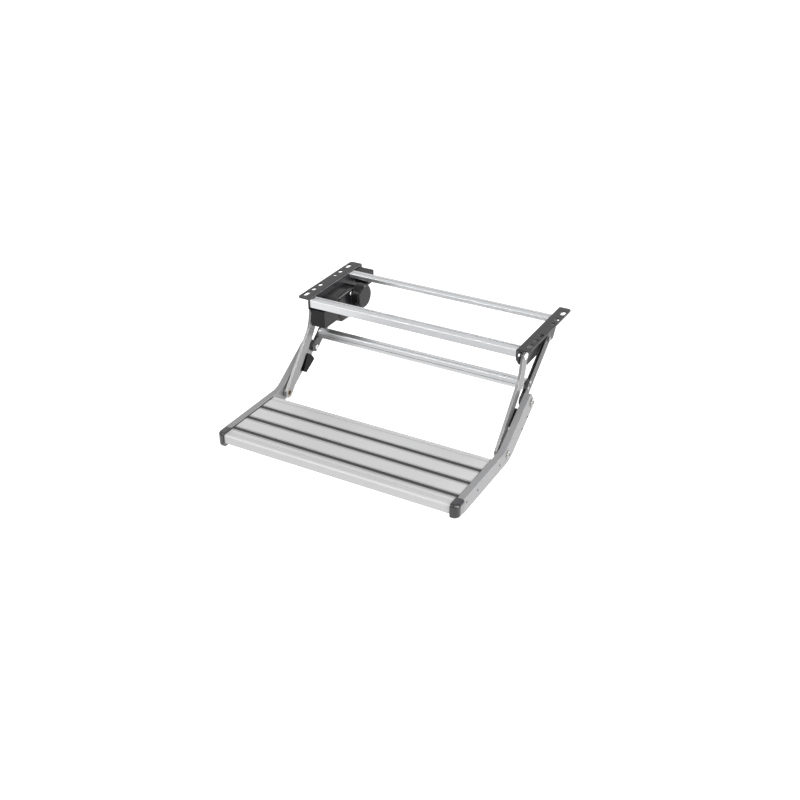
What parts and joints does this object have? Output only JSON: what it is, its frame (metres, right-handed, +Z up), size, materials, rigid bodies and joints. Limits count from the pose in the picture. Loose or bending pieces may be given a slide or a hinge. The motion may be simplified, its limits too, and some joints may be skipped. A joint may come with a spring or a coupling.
{
  "type": "folding entry step",
  "caption": "Electric folding entry step: two under-floor brackets joined by cross tubes, a geared motor, and a ribbed tread tray that swings back on paired front and rear arms.",
  "frame": {"origin": "on the mounting plane (top of both bracket flanges), midway between the two round locating holes", "axes": "+X to the step's right hand side seen from outside the vehicle, +Y inwards under the vehicle, +Z up; the step is modelled folded out"},
  "size_m": [0.5924, 0.576, 0.2259],
  "materials": {
    "bracket_paint": "satin black powder coat",
    "arm_paint": "satin dark grey powder coat",
    "housing_paint": "satin black paint on cast metal",
    "tube_aluminium": "silver anodised extrusion",
    "tread_aluminium": "silver anodised extrusion with fine serrations",
    "side_aluminium": "satin silver coating",
    "arm_aluminium": "satin silver coating",
    "zinc_steel": "bright zinc plating",
    "steel_bronze": "sintered bronze bearing",
    "cap_plastic": "glossy black moulding",
    "cover_plastic": "matt black moulding",
    "black_rubber": "matt black rubber"
  },
  "bodies": {
    "mount_frame": {"connector_box": "cover_plastic", "connector_lid": "cover_plastic", "drive_bearing": "steel_bronze", "front_cover": "cover_plastic", "front_cover_screws": "zinc_steel", "front_cross_tube": "tube_aluminium", "front_pivot_pins": "zinc_steel", "front_pivot_washers": "zinc_steel", "front_tube_screws": "zinc_steel", "gear_housing_base": "housing_paint", "gear_housing_lid": "housing_paint", "gear_mount_screws": "zinc_steel", "gear_screws": "zinc_steel", "left_bracket": "bracket_paint", "motor_can": "housing_paint", "motor_end_cap": "housing_paint", "rear_cross_tube": "tube_aluminium", "rear_pivot_bolt": "zinc_steel", "rear_pivot_nut": "zinc_steel", "rear_pivot_washer": "zinc_steel", "rear_tube_screws": "zinc_steel", "right_bracket": "bracket_paint"},
    "rear_arm_pair": {"left_rear_arm": "arm_paint", "right_rear_arm": "arm_paint", "lower_cross_tube": "tube_aluminium", "lower_tube_screws": "zinc_steel", "drive_shaft": "zinc_steel", "drive_shaft_nut": "zinc_steel"},
    "left_front_link": {"left_front_arm": "arm_aluminium", "left_foot_bush": "steel_bronze"},
    "right_front_link": {"right_front_arm": "arm_aluminium", "right_foot_bush": "steel_bronze"},
    "step_tray": {"tread": "tread_aluminium", "front_grip_strip": "black_rubber", "middle_grip_strip": "black_rubber", "rear_grip_strip": "black_rubber", "end_cap_screws": "zinc_steel", "side_rivets": "zinc_steel", "rear_link_bolts": "zinc_steel", "front_link_bolts": "zinc_steel", "rear_link_spacers": "zinc_steel", "front_link_spacers": "zinc_steel", "rear_link_nuts": "zinc_steel", "left_side_plate": "side_aluminium", "left_tread_gasket": "black_rubber", "left_end_cap": "cap_plastic", "left_stop_block": "black_rubber", "right_side_plate": "side_aluminium", "right_tread_gasket": "black_rubber", "right_end_cap": "cap_plastic", "right_stop_block": "black_rubber"}
  },
  "joints": [
    {"name": "fold", "type": "hinge", "parent": "mount_frame", "child": "rear_arm_pair", "pos_m": [0, 0.004, -0.041], "axis": [1, 0, 0], "range_deg": [0, 112]},
    {"name": "tray_swing", "type": "hinge", "parent": "rear_arm_pair", "child": "step_tray", "pos_m": [0, -0.121, -0.137], "axis": [1, 0, 0], "range_deg": [-112, 0]},
    {"name": "left_front_arm_swing", "type": "hinge", "parent": "mount_frame", "child": "left_front_link", "pos_m": [0, -0.121, -0.027], "axis": [1, 0, 0], "range_deg": [0, 75.33]},
    {"name": "right_front_arm_swing", "type": "hinge", "parent": "mount_frame", "child": "right_front_link", "pos_m": [0, -0.121, -0.027], "axis": [1, 0, 0], "range_deg": [0, 75.33]}
  ],
  "couplings": [
    {"joint": "tray_swing", "follows": "fold", "ratio": -1},
    {"joint": "left_front_arm_swing", "follows": "fold", "ratio": 0.67255},
    {"joint": "right_front_arm_swing", "follows": "fold", "ratio": 0.67255}
  ]
}
